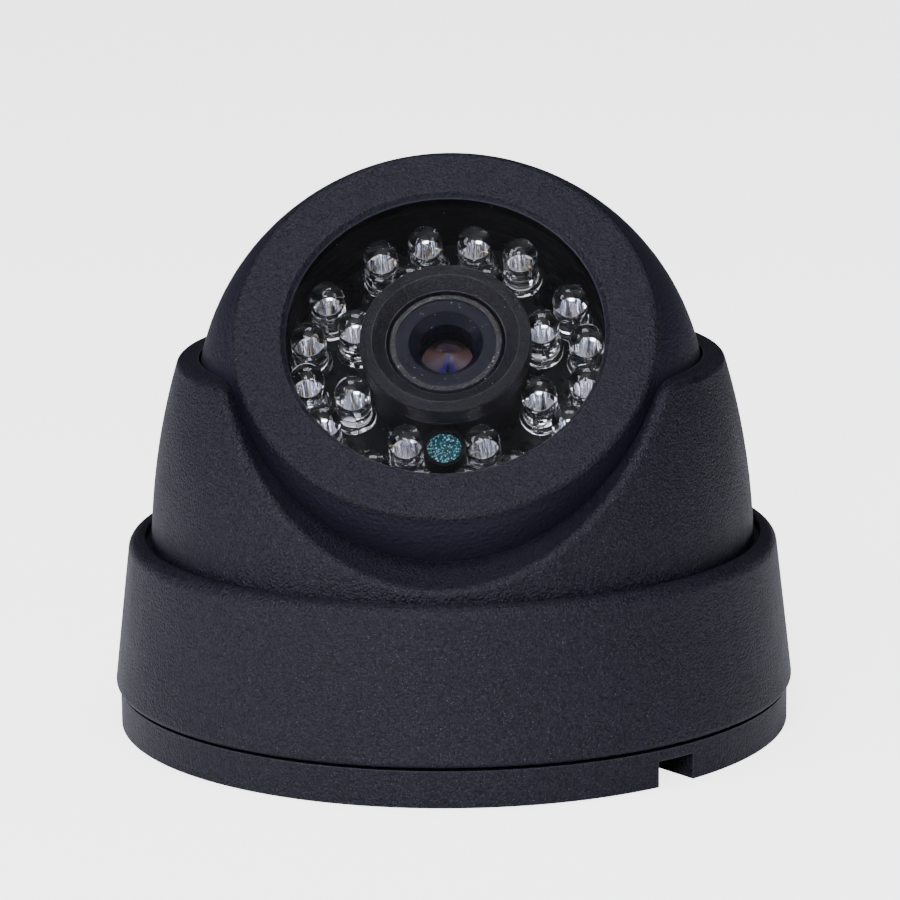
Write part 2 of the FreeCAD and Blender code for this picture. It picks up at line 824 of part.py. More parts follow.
def light_sensor_sleeve():
    """Black sleeve around the photocell, narrow at the foot between the lights' flanges."""
    bore = day_sensor_radius + day_sleeve_gap
    outer = day_sensor_radius + day_sleeve_wall
    foot_bore = day_sensor_radius - weld
    foot_high = light_base + light_flange_thickness + screw_gap
    sleeve = turned((foot_bore, board_top), (bore, board_top), (bore, foot_high), (outer, foot_high),
                    (outer, day_sensor_top + day_sleeve_rim), (bore, day_sensor_top + day_sleeve_rim),
                    (bore, foot_high + weld), (foot_bore, foot_high + weld))
    sleeve.translate(Vector(0, -day_sensor_place, 0))
    return sleeve


def led_board_resistors():
    """Chip resistors on the back of the light board."""
    chips = []
    for index in range(resistor_count):
        x, y = around(resistor_circle, 360 / resistor_count * (index + 0.5))
        chips.append(block(resistor_length, resistor_width, board_bottom - resistor_height, board_bottom,
                           x, y))
    return Part.makeCompound(chips)


def led_connector():
    """Small side-entry header on the back of the light board."""
    return block(header_depth, header_width, board_bottom - header_height, board_bottom, header_place, 0)


# ---- Sensor board, lens holder and hood ----

def sensor_board():
    """Square circuit board behind the light board."""
    board = block(sensor_board_size, sensor_board_size, sensor_board_bottom, sensor_board_top)
    holes = []
    for x, y in spacer_places() + holder_screw_places():
        holes.append(disc(screw_radius + screw_gap, sensor_board_bottom - 1, sensor_board_top + 1, x, y))
    return board.cut(holes)


def board_spacers():
    """Round spacers between the two boards."""
    posts = []
    for x, y in spacer_places():
        posts.append(disc(spacer_radius, sensor_board_top, board_bottom, x, y)
                     .cut(disc(screw_radius, sensor_board_top - 1, board_bottom + 1, x, y)))
    return Part.makeCompound(posts)


def board_screws():
    """Screws into both ends of the spacers."""
    screws = []
    for x, y in spacer_places():
        screws.append(screw(x, y, board_top, 1, board_thickness + spacer_screw_bite))
        screws.append(screw(x, y, sensor_board_bottom, -1, board_thickness + spacer_screw_bite))
    return Part.makeCompound(screws)


def holder_screw_places():
    """Two opposite corners of the holder's foot."""
    reach = holder_base / 2 - 2
    return [(-reach, reach), (reach, -reach)]


def lens_holder():
    """Threaded barrel on a square foot that covers the image sensor."""
    foot = block(holder_base, holder_base, sensor_board_top, holder_bottom)
    barrel = disc(holder_radius, sensor_board_top, holder_top)
    body = joined([foot, barrel])
    body = body.cut(disc(lens_axis_bore, filter_top + holder_ledge, holder_top + 1))
    body = body.cut(disc(filter_opening, sensor_board_top - 1, holder_top))
    cavity = sensor_size + sensor_room
    body = body.cut(block(cavity, cavity, sensor_board_top - 1, filter_top))
    for x, y in holder_screw_places():
        hole_end = sensor_board_top + holder_screw_bite + screw_gap
        body = body.cut(disc(screw_radius, sensor_board_top - 1, hole_end, x, y))
    return body


def lens_holder_screws():
    """Screws from behind the sensor board into the holder's foot."""
    screws = []
    for x, y in holder_screw_places():
        screws.append(screw(x, y, sensor_board_bottom, -1, board_thickness + holder_screw_bite))
    return Part.makeCompound(screws)


def image_sensor():
    """Sensor package under the lens."""
    return block(sensor_size, sensor_size, sensor_board_top, sensor_board_top + sensor_thickness)


def ir_filter():
    """Thin square filter glass under the holder's ledge."""
    return block(filter_size, filter_size, filter_top - filter_thickness, filter_top)


def sensor_board_components():
    """Processor, memory, crystal, capacitors and chip resistors on the back of the sensor board."""
    low = sensor_board_bottom - chip_height
    processor = block(9, 9, low, sensor_board_bottom, -1, 1.5)
    memory = block(5, 4, low, sensor_board_bottom, 8, 6)
    crystal = block(4.6, 1.8, low, sensor_board_bottom, -9, -3)
    parts = [processor, memory, crystal]
    for index in range(2):
        y = -2 + index * (2 * capacitor_radius + screw_gap)
        parts.append(disc(capacitor_radius, sensor_board_bottom - capacitor_height, sensor_board_bottom,
                          9, y))
    for index in range(5):
        y = 2 + index * (resistor_width + screw_gap)
        parts.append(block(resistor_length, resistor_width, sensor_board_bottom - resistor_height,
                           sensor_board_bottom, -12.5, y))
    return Part.makeCompound(parts)


def main_connector():
    """Header for the camera's lead on the back of the sensor board."""
    low = sensor_board_bottom - main_header_height
    body = block(main_header_length, main_header_width, low, sensor_board_bottom, -1, -9)
    hollow = block(main_header_length - 2 * header_wall, main_header_width - 2 * header_wall, low - 1,
                   sensor_board_bottom - main_header_floor, -1, -9)
    return body.cut(hollow)


def led_socket():
    """Side-entry socket on the front of the sensor board for the light board's wires."""
    high = sensor_board_top + header_height
    return block(header_depth, header_width, sensor_board_top, high, socket_place, 0)


def led_harness():
    """Three short wires from the light board's header round to the sensor board's socket."""
    wires = []
    high = board_bottom - header_height / 2
    low = sensor_board_top + header_height / 2
    far = header_place + header_depth / 2 + wire_reach
    diagonal = wire_bend * (1 - math.sqrt(0.5))
    for y in (-wire_pitch, 0.0, wire_pitch):
        start = Vector(header_place + header_depth / 2, y, high)
        first = Vector(far - wire_bend, y, high)
        first_middle = Vector(far - diagonal, y, high - diagonal)
        drop = Vector(far, y, high - wire_bend)
        rise = Vector(far, y, low + wire_bend)
        last_middle = Vector(far - diagonal, y, low + diagonal)
        last = Vector(far - wire_bend, y, low)
        end = Vector(socket_place + header_depth / 2, y, low)
        path = Part.Wire([Part.LineSegment(start, first).toShape(),
                          Part.Arc(first, first_middle, drop).toShape(),
                          Part.LineSegment(drop, rise).toShape(),
                          Part.Arc(rise, last_middle, last).toShape(),
                          Part.LineSegment(last, end).toShape()])
        circle = Part.Wire([Part.Circle(start, Vector(1, 0, 0), wire_radius).toShape()])
        wires.append(path.makePipeShell([circle], True, False))
    return Part.makeCompound(wires)


def lens_hood():
    """Round hood on the light board: a textured band, a bevel and a bore around the lens."""
    tube = holder_radius + hood_tube_gap
    tube_outer = hood_radius - hood_lip
    rim_low = hood_front - hood_rim_height
    band_inner = hood_radius - hood_band
    throat = hood_front - hood_bevel_depth
    body = turned((tube, board_top), (tube_outer, board_top), (tube_outer, rim_low),
                  (hood_radius, rim_low + small_rounding), (hood_radius, hood_front),
                  (band_inner, hood_front),
                  (hood_bevel_radius, throat), (hood_bevel_radius, throat - hood_throat),
                  (tube, throat - hood_throat - (tube - hood_bevel_radius)))
    return rounded_rings(body, small_rounding, (hood_radius, hood_front))


# ---- Lens ----

def lens_barrel():
    """Barrel with a wide front, a threaded body, a mouth and a seat for the front glass."""
    step = lens_front - lens_front_length
    rear_bore = rear_glass_radius + glass_gap
    return turned((rear_bore, lens_rear), (lens_thread_radius - small_rounding, lens_rear),
                  (lens_thread_radius, lens_rear + small_rounding), (lens_thread_radius, step),
                  (lens_front_radius, step), (lens_front_radius, lens_front - small_rounding),
                  (lens_front_radius - small_rounding, lens_front), (lens_mouth_radius, lens_front),
                  (lens_mouth_radius, glass_seat), (rear_bore, glass_seat))


def lens_front_ring():
    """Flat ring inside the mouth with a cone down to the aperture, over the front glass."""
    outer = lens_mouth_radius - glass_gap
    top = lens_front - front_ring_inset
    return turned((lens_hole_radius, glass_seat + glass_edge), (outer, glass_seat + glass_edge), (outer, top),
                  (lens_cone_radius, top), (lens_hole_radius, top - lens_cone_depth))


def cap_middle(radius, bulge):
    """Sag below the top of a spherical cap at half its radius."""
    sphere = (radius ** 2 + bulge ** 2) / (2 * bulge)
    return sphere - math.sqrt(sphere ** 2 - radius ** 2 / 4)


def lens_front_element():
    """Front glass, flat behind and domed inside a flat rim, on its seat in the barrel."""
    radius = lens_mouth_radius - glass_gap
    dome = lens_hole_radius - clamp_gap
    low = glass_seat
    high = low + glass_edge
    top = high + glass_bulge
    return turned((0, low), (radius, low), (radius, high), (dome, high),
                  ((dome / 2, top - cap_middle(dome, glass_bulge)), (0, top)))


def lens_rear_element():
    """Rear glass in the back of the barrel, domed both ways."""
    radius = rear_glass_radius
    low = lens_rear + rear_glass_inset
    high = low + glass_edge
    bulge = rear_glass_bulge
    sag = cap_middle(radius, bulge)
    return turned((0, low - bulge), ((radius / 2, low - bulge + sag), (radius, low)), (radius, high),
                  ((radius / 2, high + bulge - sag), (0, high + bulge)))


def lens_lock_nut():
    """Thin nut on the lens thread that locks the focus on the holder."""
    low = holder_top + lock_nut_gap
    return ring(lens_thread_radius, lens_thread_radius + lock_nut_wall, low, low + lock_nut_thickness)


# ---- Nodes ----

outer_lights = light_places(outer_ring_radius, outer_ring_angles)
inner_lights = light_places(inner_ring_radius, inner_ring_angles)
all_lights = outer_lights + inner_lights

upright_nodes = {
    "mounting_base": mounting_base(),
    "base_cover": base_cover(),
    "turret_collar": turret_collar(),
    "ball_clamp_ring": ball_clamp_ring(),
    "pan_retainer_ring": pan_retainer_ring(),
    "pan_friction_washer": pan_friction_washer(),
    "retainer_screws": retainer_screws(),
}

aimed_nodes = {
    "eyeball_front_shell": eyeball_front_shell(),
    "eyeball_rear_shell": eyeball_rear_shell(),
    "tilt_pivot_pins": tilt_pivot_pins(),
    "shell_screws": shell_screws(),
    "window": window(),
    "window_gasket": window_gasket(),
    "window_spacer": window_spacer(),
    "led_board": led_board(all_lights),
    "led_board_screws": led_board_screws(),
    "led_lenses_outer": clear_lights(outer_lights),
    "led_lenses_inner": clear_lights(inner_lights),
    "led_leadframes": leadframes(all_lights),
    "led_board_resistors": led_board_resistors(),
    "led_connector": led_connector(),
    "led_harness": led_harness(),
    "light_sensor": light_sensor(),
    "light_sensor_sleeve": light_sensor_sleeve(),
    "sensor_board": sensor_board(),
    "sensor_board_components": sensor_board_components(),
    "main_connector": main_connector(),
    "led_socket": led_socket(),
    "board_spacers": board_spacers(),
    "board_screws": board_screws(),
    "image_sensor": image_sensor(),
    "ir_filter": ir_filter(),
    "lens_holder": lens_holder(),
    "lens_holder_screws": lens_holder_screws(),
    "lens_hood": lens_hood(),
    "lens_barrel": lens_barrel(),
    "lens_front_ring": lens_front_ring(),
    "lens_front_element": lens_front_element(),
    "lens_rear_element": lens_rear_element(),
    "lens_lock_nut": lens_lock_nut(),
}

for name, shape in upright_nodes.items():
    save(shape, name)
for name, shape in aimed_nodes.items():
    save(aimed(shape), name)
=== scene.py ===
import json
import math
import bmesh
import bpy
import numpy as np
from mathutils import Matrix, Vector


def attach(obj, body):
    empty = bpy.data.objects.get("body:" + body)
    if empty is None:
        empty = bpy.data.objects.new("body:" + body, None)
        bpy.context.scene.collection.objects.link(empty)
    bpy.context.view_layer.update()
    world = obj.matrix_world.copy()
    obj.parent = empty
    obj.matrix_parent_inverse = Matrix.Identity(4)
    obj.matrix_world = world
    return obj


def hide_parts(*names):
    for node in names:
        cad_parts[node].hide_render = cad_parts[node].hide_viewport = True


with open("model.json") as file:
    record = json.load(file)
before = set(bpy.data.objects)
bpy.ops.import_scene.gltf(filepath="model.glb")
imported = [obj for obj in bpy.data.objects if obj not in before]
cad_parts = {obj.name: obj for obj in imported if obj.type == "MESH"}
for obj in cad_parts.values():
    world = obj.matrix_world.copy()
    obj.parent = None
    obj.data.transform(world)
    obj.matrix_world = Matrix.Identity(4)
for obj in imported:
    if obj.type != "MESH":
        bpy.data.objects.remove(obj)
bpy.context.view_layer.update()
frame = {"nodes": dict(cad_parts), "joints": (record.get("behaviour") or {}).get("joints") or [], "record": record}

mm = 0.001
leanSeed = 7

# The eyeball's own frame: x to the right, y up the face, z out along the line of sight.
joints = {joint["name"]: joint for joint in frame["joints"]}
ballCentre = np.array(joints["tilt"]["pos_m"], float)
sight = np.array(joints["lens_focus"]["axis"], float)
sight = sight / np.linalg.norm(sight)
across = np.array((1.0, 0.0, 0.0))
upright = np.cross(sight, across)
eyeAxes = np.stack((across, upright, sight), axis=0)


def fromEyeball(points):
    # p = centre + x * across + y * upright + z * sight, from millimetres
    return ballCentre + (points * mm) @ eyeAxes


def eyeballPoints(node):
    # A CAD node's points in the eyeball's frame, in millimetres
    mesh = frame["nodes"][node].data
    points = np.empty(len(mesh.vertices) * 3)
    mesh.vertices.foreach_get("co", points)
    return (points.reshape(-1, 3) - ballCentre) @ eyeAxes.T / mm


def gridFaces(rows, columns):
    # Quads between neighbouring rows, closed round the columns
    grid = np.arange(rows * columns).reshape(rows, columns)
    following = np.roll(grid, -1, axis=1)
    quads = np.stack((grid[:-1], following[:-1], following[1:], grid[1:]), axis=-1)
    return quads.reshape(-1, 4)


def lathe(profile, steps):
    # Every profile point (r, z) goes round the axis: x = r cos a, y = r sin a, a in equal steps
    profile = np.asarray(profile, float)
    angle = np.linspace(0, 2 * math.pi, steps, endpoint=False)
    radius = profile[:, :1]
    height = np.broadcast_to(profile[:, 1:], (len(profile), steps))
    points = np.stack((radius * np.cos(angle), radius * np.sin(angle), height), axis=-1)
    return points.reshape(-1, 3), gridFaces(len(profile), steps)


def arc(centreR, centreZ, radius, start, end, count):
    # Points of a circle in the profile plane: r = cr + R cos t, z = cz + R sin t, t in degrees
    turn = np.radians(np.linspace(start, end, count))
    return np.stack((centreR + radius * np.cos(turn), centreZ + radius * np.sin(turn)), axis=-1)


def bar(path, width, depth):
    # A rectangle carried up a path of (x, y, z): each corner is the path's point plus its half sizes
    path = np.asarray(path, float)
    corners = np.array(((-1, -1, 0), (1, -1, 0), (1, 1, 0), (-1, 1, 0)), float)
    corners = corners * (width / 2, depth / 2, 0)
    ends = np.stack((path[:1] * np.ones((4, 1)), path[-1:] * np.ones((4, 1))))
    points = np.concatenate((ends[:1], path[:, None, :] + corners, ends[1:]))
    return points.reshape(-1, 3), gridFaces(len(path) + 2, 4)


def wire(path, radius, sides):
    # A circle carried along a path in the xz plane: p = c + R (cos t * normal + sin t * y)
    path = np.asarray(path, float)
    along = np.gradient(path, axis=0)
    along = along / np.linalg.norm(along, axis=1)[:, None]
    normal = np.stack((-along[:, 2], 0 * along[:, 0], along[:, 0]), axis=-1)
    turn = np.linspace(0, 2 * math.pi, sides, endpoint=False)[:, None]
    circle = radius * (np.cos(turn) * normal[:, None, :] + np.sin(turn) * np.array((0.0, 1.0, 0.0)))
    tube = path[:, None, :] + circle
    caps = np.stack((path[:1] * np.ones((sides, 1)), path[-1:] * np.ones((sides, 1))))
    points = np.concatenate((caps[:1], tube, caps[1:]))
    return points.reshape(-1, 3), gridFaces(len(path) + 2, sides)


def gathered(*shapes):
    # Several shapes in one list of points and faces
    counts = np.cumsum([0] + [len(points) for points, faces in shapes])
    points = np.concatenate([points for points, faces in shapes])
    faces = np.concatenate([faces + start for (_, faces), start in zip(shapes, counts)])
    return points, faces


def copied(shape, places, turns, lean=0.0, foot=0.0):
    # Copy k is sheared by its lean above its foot, turned by its angle about z and moved to its
    # place: p' = R(a) (p + lean_k * (z - foot)) + c
    points, faces = shape
    most = math.tan(math.radians(lean))
    slopes = np.random.default_rng(leanSeed).uniform(-1, 1, (len(places), 2)) * most
    above = points[:, 2] - foot
    cosine = np.cos(turns)[:, None]
    sine = np.sin(turns)[:, None]
    x, y, z = points.T
    level = np.broadcast_to(z, (len(places), len(z)))
    x = x + slopes[:, :1] * above
    y = y + slopes[:, 1:] * above
    moved = np.stack((cosine * x - sine * y, sine * x + cosine * y, level), axis=-1)
    moved = moved + places[:, None, :]
    start = np.arange(len(places))[:, None, None] * len(points)
    return moved.reshape(-1, 3), (faces[None] + start).reshape(-1, 4)


def addPiece(name, shape, material, body, replaced=(), sharpAngle=35):
    points, faces = shape
    mesh = bpy.data.meshes.new(name)
    mesh.from_pydata(fromEyeball(points).tolist(), [], faces.tolist())
    piece = bpy.data.objects.new(name, mesh)
    bpy.context.scene.collection.objects.link(piece)
    work = bmesh.new()
    work.from_mesh(mesh)
    bmesh.ops.remove_doubles(work, verts=work.verts, dist=1e-7)
    bmesh.ops.recalc_face_normals(work, faces=work.faces)
    work.to_mesh(mesh)
    work.free()
    mesh.shade_smooth()
    mesh.set_sharp_from_angle(angle=math.radians(sharpAngle))
    mesh.materials.append(material)
    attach(piece, body)
    if replaced:
        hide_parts(*replaced)


def put(tree, kind, inputs=None, **settings):
    node = tree.nodes.new(kind)
    for name, value in settings.items():
        setattr(node, name, value)
    for name, value in (inputs or {}).items():
        if isinstance(value, bpy.types.NodeSocket):
            tree.links.new(value, node.inputs[name])
        else:
            node.inputs[name].default_value = value
    return node


def calculate(tree, operation, first, second=0.0, third=0.0):
    return put(tree, "ShaderNodeMath", {0: first, 1: second, 2: third}, operation=operation).outputs[0]


def remap(tree, value, low, high, toLow=0.0, toHigh=1.0):
    node = put(tree, "ShaderNodeMapRange", {"Value": value, "From Min": low, "From Max": high,
                                            "To Min": toLow, "To Max": toHigh})
    return node.outputs["Result"]


def blendColour(tree, share, first, second):
    node = put(tree, "ShaderNodeMix", data_type="RGBA")
    for socket, value in ((node.inputs[0], share), (node.inputs[6], first), (node.inputs[7], second)):
        if isinstance(value, bpy.types.NodeSocket):
            tree.links.new(value, socket)
        elif socket == node.inputs[0]:
            socket.default_value = value
        else:
            socket.default_value = (*value, 1.0)
    return node.outputs[2]


def newGroup(name, inputs, outputs):
    group = bpy.data.node_groups.new(name, "ShaderNodeTree")
    for label, kind, value in inputs:
        socket = group.interface.new_socket(label, in_out="INPUT", socket_type=kind)
        if value is not None:
            socket.default_value = value
    for label in outputs:
        group.interface.new_socket(label, in_out="OUTPUT", socket_type="NodeSocketFloat")
    return group, put(group, "NodeGroupInput").outputs, put(group, "NodeGroupOutput")


def makeGrainGroup():
    # Moulded leather grain: soft noise over small rounded cells, and the light specks on its tops
    group, given, out = newGroup("mouldGrain", (("Vector", "NodeSocketVector", None),
                                                ("Scale", "NodeSocketFloat", 2000.0),
                                                ("Speck Share", "NodeSocketFloat", 0.3)),
                                 ("Height", "Specks"))
    noise = put(group, "ShaderNodeTexNoise", {"Vector": given["Vector"], "Scale": given["Scale"],
                                              "Detail": 2.0, "Roughness": 0.6})
    cellScale = calculate(group, "MULTIPLY", given["Scale"], 0.8)
    cells = put(group, "ShaderNodeTexVoronoi", {"Vector": given["Vector"], "Scale": cellScale},
                feature="SMOOTH_F1")
    low = calculate(group, "MULTIPLY", cells.outputs["Distance"], -0.55)
    height = calculate(group, "ADD", noise.outputs["Fac"], low)
    fineScale = calculate(group, "MULTIPLY", given["Scale"], 2.1)
    fine = put(group, "ShaderNodeTexNoise", {"Vector": given["Vector"], "Scale": fineScale,
                                             "Detail": 1.0})
    level = calculate(group, "SUBTRACT", 0.78, calculate(group, "MULTIPLY", given["Speck Share"], 0.2))
    above = calculate(group, "SUBTRACT", fine.outputs["Fac"], level)
    specks = remap(group, above, 0.0, 0.06)
    group.links.new(height, out.inputs["Height"])
    group.links.new(specks, out.inputs["Specks"])
    return group


def makeEdgeGroup():
    # Worn edges: where a rounded normal turns away from the true one, broken up by noise
    group, given, out = newGroup("edgeWear", (("Vector", "NodeSocketVector", None),
                                              ("Width", "NodeSocketFloat", 0.0004),
                                              ("Gain", "NodeSocketFloat", 6.0)), ("Mask",))
    rounded = put(group, "ShaderNodeBevel", {"Radius": given["Width"]}, samples=4)
    flat = put(group, "ShaderNodeNewGeometry")
    match = put(group, "ShaderNodeVectorMath", {0: rounded.outputs["Normal"], 1: flat.outputs["Normal"]},
                operation="DOT_PRODUCT")
    turned = calculate(group, "SUBTRACT", 1.0, match.outputs["Value"])
    noise = put(group, "ShaderNodeTexNoise", {"Vector": given["Vector"], "Scale": 900.0, "Detail": 2.0})
    patchy = remap(group, noise.outputs["Fac"], 0.35, 0.65, 0.4, 1.0)
    strong = calculate(group, "MULTIPLY", turned, given["Gain"])
    mask = put(group, "ShaderNodeMath", {0: strong, 1: patchy}, operation="MULTIPLY", use_clamp=True)
    group.links.new(mask.outputs[0], out.inputs["Mask"])
    return group


def makeDustGroup():
    # Dust: a small dot at the middle of a few cells, chosen by each cell's own random value
    group, given, out = newGroup("dustSpecks", (("Vector", "NodeSocketVector", None),
                                                ("Scale", "NodeSocketFloat", 1800.0),
                                                ("Share", "NodeSocketFloat", 0.1),
                                                ("Size", "NodeSocketFloat", 0.14)), ("Mask",))
    cells = put(group, "ShaderNodeTexVoronoi", {"Vector": given["Vector"], "Scale": given["Scale"]})
    pick = put(group, "ShaderNodeSeparateColor", {"Color": cells.outputs["Color"]})
    chosen = calculate(group, "LESS_THAN", pick.outputs["Red"], given["Share"])
    reach = calculate(group, "MULTIPLY", given["Size"], pick.outputs["Green"])
    near = calculate(group, "LESS_THAN", cells.outputs["Distance"], reach)
    mask = calculate(group, "MULTIPLY", chosen, near)
    group.links.new(mask, out.inputs["Mask"])
    return group


def makeMottleGroup():
    # Slow change over a surface, for gloss and shade that are never quite even
    group, given, out = newGroup("mottle", (("Vector", "NodeSocketVector", None),
                                            ("Scale", "NodeSocketFloat", 60.0),
                                            ("Low", "NodeSocketFloat", 0.4),
                                            ("High", "NodeSocketFloat", 0.5)), ("Value",))
    noise = put(group, "ShaderNodeTexNoise", {"Vector": given["Vector"], "Scale": given["Scale"],
                                              "Detail": 3.0})
    span = put(group, "ShaderNodeMapRange", {"Value": noise.outputs["Fac"], "From Min": 0.3,
                                             "From Max": 0.7, "To Min": given["Low"],
                                             "To Max": given["High"]})
    group.links.new(span.outputs["Result"], out.inputs["Value"])
    return group


grainGroup = makeGrainGroup()
edgeGroup = makeEdgeGroup()
dustGroup = makeDustGroup()
mottleGroup = makeMottleGroup()


def useGroup(tree, group, **inputs):
    node = tree.nodes.new("ShaderNodeGroup")
    node.node_tree = group
    for name, value in inputs.items():
        socket = node.inputs[name.replace("_", " ")]
        if isinstance(value, bpy.types.NodeSocket):
            tree.links.new(value, socket)
        else:
            socket.default_value = value
    return node.outputs


def startMaterial(name):
    material = bpy.data.materials.new(name)
    material.use_nodes = True
    tree = material.node_tree
    where = put(tree, "ShaderNodeTexCoord").outputs["Object"]
    return material, tree, tree.nodes["Principled BSDF"], where


def eyeballHeight(tree, where):
    # Height along the sight, in millimetres: (p - centre) . sight
    middle = put(tree, "ShaderNodeVectorMath", {0: where, 1: tuple(ballCentre)}, operation="SUBTRACT")
    along = put(tree, "ShaderNodeVectorMath", {0: middle.outputs[0], 1: tuple(sight / mm)},
                operation="DOT_PRODUCT")
    return along.outputs["Value"]


def bump(tree, shader, height, distance):
    node = put(tree, "ShaderNodeBump", {"Height": height, "Distance": distance, "Strength": 1.0})
    tree.links.new(node.outputs["Normal"], shader.inputs["Normal"])


def mouldedPlastic(name, look):
    material, tree, shader, where = startMaterial(name)
    grain = useGroup(tree, grainGroup, Vector=where, Scale=look["grainScale"],
                     Speck_Share=look["speckShare"])
    wear = useGroup(tree, edgeGroup, Vector=where, Width=look["wearWidth"], Gain=look["wearGain"])
    shade = useGroup(tree, mottleGroup, Vector=where, Scale=45.0, Low=0.0, High=1.0)
    base = blendColour(tree, shade["Value"], look["dark"], look["light"])
    pits = remap(tree, grain["Height"], 0.12, 0.42, look["pitShade"], 0.0)
    base = blendColour(tree, pits, base, look["pit"])
    specked = blendColour(tree, calculate(tree, "MULTIPLY", grain["Specks"], look["speckMix"]), base,
                          look["speck"])
    worn = blendColour(tree, calculate(tree, "MULTIPLY", wear["Mask"], look["wearMix"]), specked,
                       look["worn"])
    tree.links.new(worn, shader.inputs["Base Color"])
    gloss = useGroup(tree, mottleGroup, Vector=where, Scale=120.0, Low=look["roughLow"],
                     High=look["roughHigh"])
    smooth = calculate(tree, "MULTIPLY", wear["Mask"], -look["wearPolish"])
    tree.links.new(calculate(tree, "ADD", gloss["Value"], smooth), shader.inputs["Roughness"])
    shader.inputs["Specular IOR Level"].default_value = look["specular"]
    bump(tree, shader, grain["Height"], look["grainDepth"])
    return material


baseLook = {"grainScale": 3300.0, "speckShare": 0.55, "wearWidth": 0.00035, "wearGain": 7.0,
            "dark": (0.0072, 0.0070, 0.0125), "light": (0.0104, 0.0100, 0.0172),
            "speck": (0.10, 0.099, 0.13), "speckMix": 0.75, "worn": (0.055, 0.054, 0.070),
            "wearMix": 0.5, "wearPolish": 0.10, "roughLow": 0.36, "roughHigh": 0.44,
            "grainDepth": 0.00025, "pit": (0.0015, 0.0015, 0.003), "pitShade": 1.0,
            "specular": 0.18}
innerLook = dict(baseLook, grainScale=1500.0, dark=(0.0006, 0.0006, 0.0008),
                 light=(0.0012, 0.0012, 0.0015), speckMix=0.0,
                 pitShade=0.0, grainDepth=0.00002, wearMix=0.1, specular=0.05,
                 roughLow=0.45, roughHigh=0.55)
hoodLook = dict(baseLook, grainScale=5600.0, speckShare=0.6, dark=(0.0005, 0.0005, 0.0008),
                light=(0.0012, 0.0012, 0.0016), speckMix=0.8, speck=(0.13, 0.13, 0.145), specular=0.08,
                worn=(0.20, 0.20, 0.22), wearMix=0.6, wearWidth=0.00020, grainDepth=0.00010,
                roughLow=0.34, roughHigh=0.42)


def ballPlastic():
    # The flat ring has a crisper grain than the sphere beside it, which is nearly smooth
    material, tree, shader, where = startMaterial("ballPlastic")
    look = baseLook
    high = eyeballHeight(tree, where)
    faceTop = float(eyeballPoints("eyeball_front_shell")[:, 2].max())
    onFace = remap(tree, high, faceTop - 1.2, faceTop - 0.2)
    fine = useGroup(tree, grainGroup, Vector=where, Scale=3600.0, Speck_Share=0.6)
    soft = useGroup(tree, grainGroup, Vector=where, Scale=2300.0, Speck_Share=0.25)
    wear = useGroup(tree, edgeGroup, Vector=where, Width=0.00035, Gain=6.0)
    shade = useGroup(tree, mottleGroup, Vector=where, Scale=45.0, Low=0.0, High=1.0)
    base = blendColour(tree, shade["Value"], look["dark"], look["light"])
    pits = remap(tree, fine["Height"], 0.12, 0.42, look["pitShade"], 0.0)
    base = blendColour(tree, calculate(tree, "MULTIPLY", pits, onFace), base, look["pit"])
    shader.inputs["Specular IOR Level"].default_value = look["specular"]
    specks = calculate(tree, "MULTIPLY", fine["Specks"], onFace)
    specks = calculate(tree, "MULTIPLY_ADD", soft["Specks"], 0.3, specks)
    specked = blendColour(tree, calculate(tree, "MULTIPLY", specks, 0.45), base, look["speck"])
    worn = blendColour(tree, calculate(tree, "MULTIPLY", wear["Mask"], 0.45), specked, look["worn"])
    tree.links.new(worn, shader.inputs["Base Color"])
    gloss = useGroup(tree, mottleGroup, Vector=where, Scale=120.0, Low=0.38, High=0.46)
    tree.links.new(gloss["Value"], shader.inputs["Roughness"])
    crisp = calculate(tree, "MULTIPLY", fine["Height"], onFace)
    height = calculate(tree, "MULTIPLY_ADD", soft["Height"], 0.55, crisp)
    bump(tree, shader, height, 0.00022)
    return material


def passShadows(tree, shader):
    # Rays from lamps go through a clear piece
    path = put(tree, "ShaderNodeLightPath")
    through = put(tree, "ShaderNodeBsdfTransparent")
    mixer = put(tree, "ShaderNodeMixShader", {0: path.outputs["Is Shadow Ray"],
                                              1: shader.outputs[0], 2: through.outputs[0]})
    tree.links.new(mixer.outputs[0], tree.nodes["Material Output"].inputs["Surface"])


def clearFinish(name, colour, ior, roughness, dustShare=0.0):
    # Clear piece whose dust is a rough, slightly milky dot
    material, tree, shader, where = startMaterial(name)
    shader.inputs["Transmission Weight"].default_value = 1.0
    shader.inputs["IOR"].default_value = ior
    dust = useGroup(tree, dustGroup, Vector=where, Scale=1400.0, Share=dustShare, Size=0.12)
    smear = useGroup(tree, mottleGroup, Vector=where, Scale=90.0, Low=roughness, High=roughness + 0.01)
    rough = calculate(tree, "MULTIPLY_ADD", dust["Mask"], 0.5, smear["Value"])
    tree.links.new(rough, shader.inputs["Roughness"])
    dusty = blendColour(tree, dust["Mask"], colour, (0.7, 0.7, 0.72))
    tree.links.new(dusty, shader.inputs["Base Color"])
    passShadows(tree, shader)
    return material


def metalFinish(name, bright, dull, roughLow, roughHigh, scale):
    # Plated or drawn metal: fine streaks in its shade and gloss
    material, tree, shader, where = startMaterial(name)
    shader.inputs["Metallic"].default_value = 1.0
    tone = useGroup(tree, mottleGroup, Vector=where, Scale=scale, Low=0.0, High=1.0)
    tree.links.new(blendColour(tree, tone["Value"], bright, dull), shader.inputs["Base Color"])
    gloss = useGroup(tree, mottleGroup, Vector=where, Scale=scale * 3, Low=roughLow, High=roughHigh)
    tree.links.new(gloss["Value"], shader.inputs["Roughness"])
    grain = useGroup(tree, grainGroup, Vector=where, Scale=scale * 4, Speck_Share=0.1)
    bump(tree, shader, grain["Height"], 0.000004)
    return material


